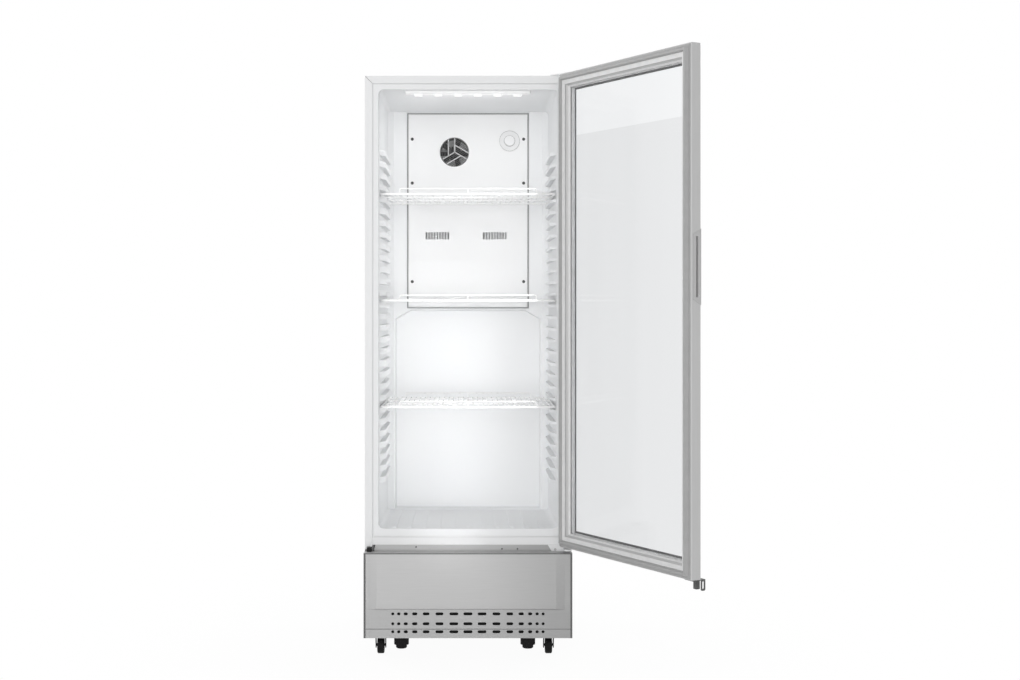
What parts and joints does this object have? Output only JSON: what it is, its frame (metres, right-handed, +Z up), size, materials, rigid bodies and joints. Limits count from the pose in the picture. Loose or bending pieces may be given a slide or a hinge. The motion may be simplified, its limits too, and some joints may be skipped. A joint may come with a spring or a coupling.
{
  "type": "beverage cooler",
  "caption": "Upright glass-door beverage cooler with wire shelves, a moulded liner, a vented kick plate, casters and levelling feet.",
  "frame": {"origin": "on the floor, under the centre of the cabinet's 600 by 550 mm footprint", "axes": "+X to the viewer's right, +Y from the front into the cabin, +Z up; the door is open and the shelves are pushed in"},
  "size_m": [0.905, 1.1022, 1.6942],
  "materials": {
    "black_steel": "black enamel",
    "bracket_white": "white enamel",
    "cabinet_white": "white satin enamel",
    "coil_aluminium": "bare",
    "compressor_black": "black enamel",
    "copper": "bare copper",
    "cover_white": "white satin",
    "dark_plastic": "matt",
    "door_grey": "satin grey",
    "fan_plastic": "satin",
    "foam": "rigid foam",
    "gasket_grey": "soft, matt",
    "glass": "clear",
    "grey_plastic": "satin grey",
    "kick_grey": "satin grey enamel",
    "lens_clear": "clear white",
    "liner_white": "white, slightly glossy",
    "pan_plastic": "matt",
    "rubber_black": "matt",
    "screw_steel": "plated",
    "spacer_grey": "satin",
    "trim_dark": "satin",
    "wheel_black": "matt",
    "wire_white": "white coated wire",
    "zinc_steel": "bare zinc-coated"
  },
  "bodies": {
    "cabinet": {"outer_shell": "cabinet_white", "inner_liner": "liner_white", "insulation_foam": "foam", "bottom_panel": "cabinet_white", "back_panel": "cabinet_white", "drain_pipe": "pan_plastic", "evaporator_cover": "cover_white", "cover_screws": "screw_steel", "fan_guard": "cover_white", "thermostat_body": "cover_white", "evaporator_coil": "coil_aluminium", "evaporator_fan_motor": "compressor_black", "lamp_housing": "cover_white", "lamp_lenses": "lens_clear", "lower_hinge_bracket": "bracket_white", "upper_hinge_bracket": "bracket_white", "hinge_pins": "screw_steel", "hinge_screws": "screw_steel", "lock_strike": "black_steel", "front_cross_bar": "kick_grey", "kick_plate": "kick_grey", "kick_plate_trims": "trim_dark", "base_tray": "zinc_steel", "caster_plates": "zinc_steel", "rear_caster_forks": "black_steel", "compressor": "compressor_black", "compressor_grommets": "rubber_black", "terminal_box": "dark_plastic", "condenser": "compressor_black", "condenser_fan_motor": "compressor_black", "filter_drier": "copper", "refrigerant_lines": "copper", "evaporation_tray": "pan_plastic", "rear_grille": "cabinet_white", "cord_gland": "dark_plastic"},
    "door": {"door_rail_top": "door_grey", "door_rail_bottom": "door_grey", "door_stile_hinge": "door_grey", "door_stile_free": "door_grey", "door_gasket": "gasket_grey", "door_glass_outer": "glass", "door_glass_inner": "glass", "glass_spacer": "spacer_grey", "door_handle": "grey_plastic", "door_hasp": "screw_steel", "door_bushes": "dark_plastic"},
    "shelf_upper_body": {"shelf_upper": "wire_white"},
    "shelf_middle_body": {"shelf_middle": "wire_white"},
    "shelf_lower_body": {"shelf_lower": "wire_white"},
    "knob": {"thermostat_knob": "cover_white"},
    "evaporator_fan": {"evaporator_fan_rotor": "fan_plastic"},
    "condenser_fan": {"condenser_fan_rotor": "fan_plastic"},
    "foot_left": {"levelling_foot_left": "rubber_black"},
    "swivel_left": {"caster_fork_front_left": "black_steel"},
    "front_wheel_left": {"caster_wheel_front_left": "wheel_black"},
    "rear_wheel_left": {"caster_wheel_rear_left": "wheel_black"},
    "foot_right": {"levelling_foot_right": "rubber_black"},
    "swivel_right": {"caster_fork_front_right": "black_steel"},
    "front_wheel_right": {"caster_wheel_front_right": "wheel_black"},
    "rear_wheel_right": {"caster_wheel_rear_right": "wheel_black"}
  },
  "joints": [
    {"name": "door_hinge", "type": "hinge", "parent": "cabinet", "child": "door", "pos_m": [0.2876, -0.3064, 0], "axis": [0, 0, 1], "range_deg": [-120, 10]},
    {"name": "shelf_upper_slide", "type": "slide", "parent": "cabinet", "child": "shelf_upper_body", "axis": [0, -1, 0], "range_m": [0, 0.3]},
    {"name": "shelf_middle_slide", "type": "slide", "parent": "cabinet", "child": "shelf_middle_body", "axis": [0, -1, 0], "range_m": [0, 0.3]},
    {"name": "shelf_lower_slide", "type": "slide", "parent": "cabinet", "child": "shelf_lower_body", "axis": [0, -1, 0], "range_m": [0, 0.3]},
    {"name": "thermostat_turn", "type": "hinge", "parent": "cabinet", "child": "knob", "pos_m": [0.1338, 0.18, 1.551], "axis": [0, 1, 0], "range_deg": [0, 300]},
    {"name": "evaporator_fan_spin", "type": "hinge", "parent": "cabinet", "child": "evaporator_fan", "pos_m": [-0.0436, 0.205, 1.515], "axis": [0, -1, 0], "continuous": true},
    {"name": "condenser_fan_spin", "type": "hinge", "parent": "cabinet", "child": "condenser_fan", "pos_m": [-0.1, -0.08, 0.18], "axis": [0, -1, 0], "continuous": true},
    {"name": "foot_left_screw", "type": "slide", "parent": "cabinet", "child": "foot_left", "axis": [0, 0, -1], "range_m": [0, 0.0217]},
    {"name": "swivel_left_turn", "type": "hinge", "parent": "cabinet", "child": "swivel_left", "pos_m": [-0.2556, -0.245, 0.065], "axis": [0, 0, 1], "continuous": true},
    {"name": "front_wheel_left_roll", "type": "hinge", "parent": "swivel_left", "child": "front_wheel_left", "pos_m": [-0.2556, -0.23, 0.025], "axis": [1, 0, 0], "continuous": true},
    {"name": "rear_wheel_left_roll", "type": "hinge", "parent": "cabinet", "child": "rear_wheel_left", "pos_m": [-0.2556, 0.215, 0.025], "axis": [1, 0, 0], "continuous": true},
    {"name": "foot_right_screw", "type": "slide", "parent": "cabinet", "child": "foot_right", "axis": [0, 0, -1], "range_m": [0, 0.0217]},
    {"name": "swivel_right_turn", "type": "hinge", "parent": "cabinet", "child": "swivel_right", "pos_m": [0.2364, -0.245, 0.065], "axis": [0, 0, 1], "continuous": true},
    {"name": "front_wheel_right_roll", "type": "hinge", "parent": "swivel_right", "child": "front_wheel_right", "pos_m": [0.2364, -0.23, 0.025], "axis": [1, 0, 0], "continuous": true},
    {"name": "rear_wheel_right_roll", "type": "hinge", "parent": "cabinet", "child": "rear_wheel_right", "pos_m": [0.2364, 0.215, 0.025], "axis": [1, 0, 0], "continuous": true}
  ]
}
